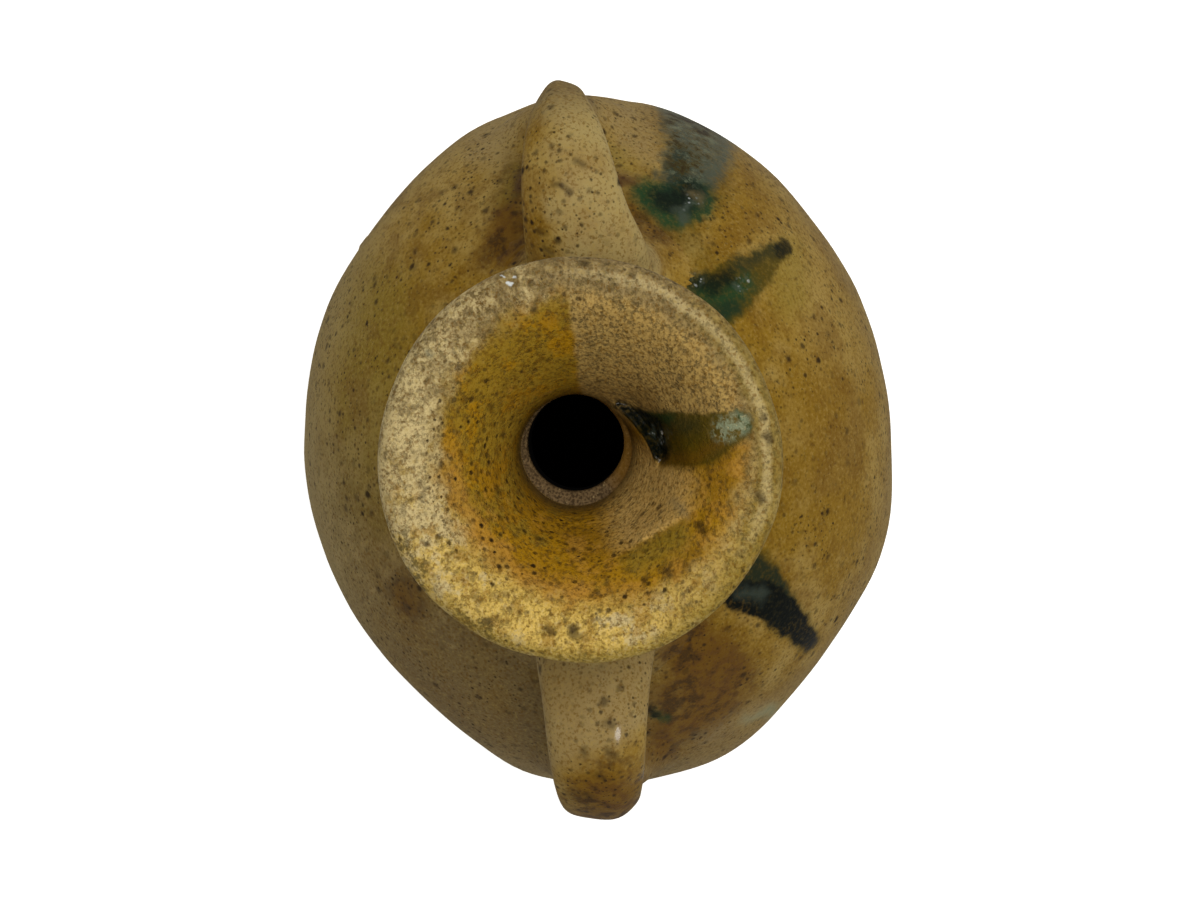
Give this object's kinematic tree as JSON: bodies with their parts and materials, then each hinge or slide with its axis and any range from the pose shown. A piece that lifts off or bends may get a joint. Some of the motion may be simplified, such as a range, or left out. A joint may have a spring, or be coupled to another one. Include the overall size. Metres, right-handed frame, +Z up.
{
  "type": "pottery jug",
  "caption": "Glazed earthenware jug with an oval belly, a narrow throat, a wide funnel mouth and looped strap handles on its shoulder, for storing and pouring liquids.",
  "frame": {"origin": "centre of the flat base, on the table", "axes": "+Z up, X through both handles, -Y the front with the green splashes"},
  "size_m": [0.22, 0.189, 0.296],
  "materials": {
    "amber_glaze": "glossy transparent amber glaze, speckled dark brown, with green splashes",
    "worn_glaze": "amber glaze, worn pale and grainy on the lip",
    "bare_clay": "rough unglazed earthenware",
    "luting_slip": "rough fired slip"
  },
  "bodies": {
    "root": {"base_slab": "bare_clay", "base_slip": "luting_slip", "lower_body": "amber_glaze", "belly_slip": "luting_slip", "upper_body": "amber_glaze", "collar_slip": "luting_slip", "neck": "bare_clay", "throat_slip": "luting_slip", "mouth_funnel": "worn_glaze", "right_handle": "amber_glaze", "right_handle_upper_slip": "luting_slip", "right_handle_lower_slip": "luting_slip", "left_handle": "amber_glaze", "left_handle_upper_slip": "luting_slip", "left_handle_lower_slip": "luting_slip"}
  },
  "joints": []
}
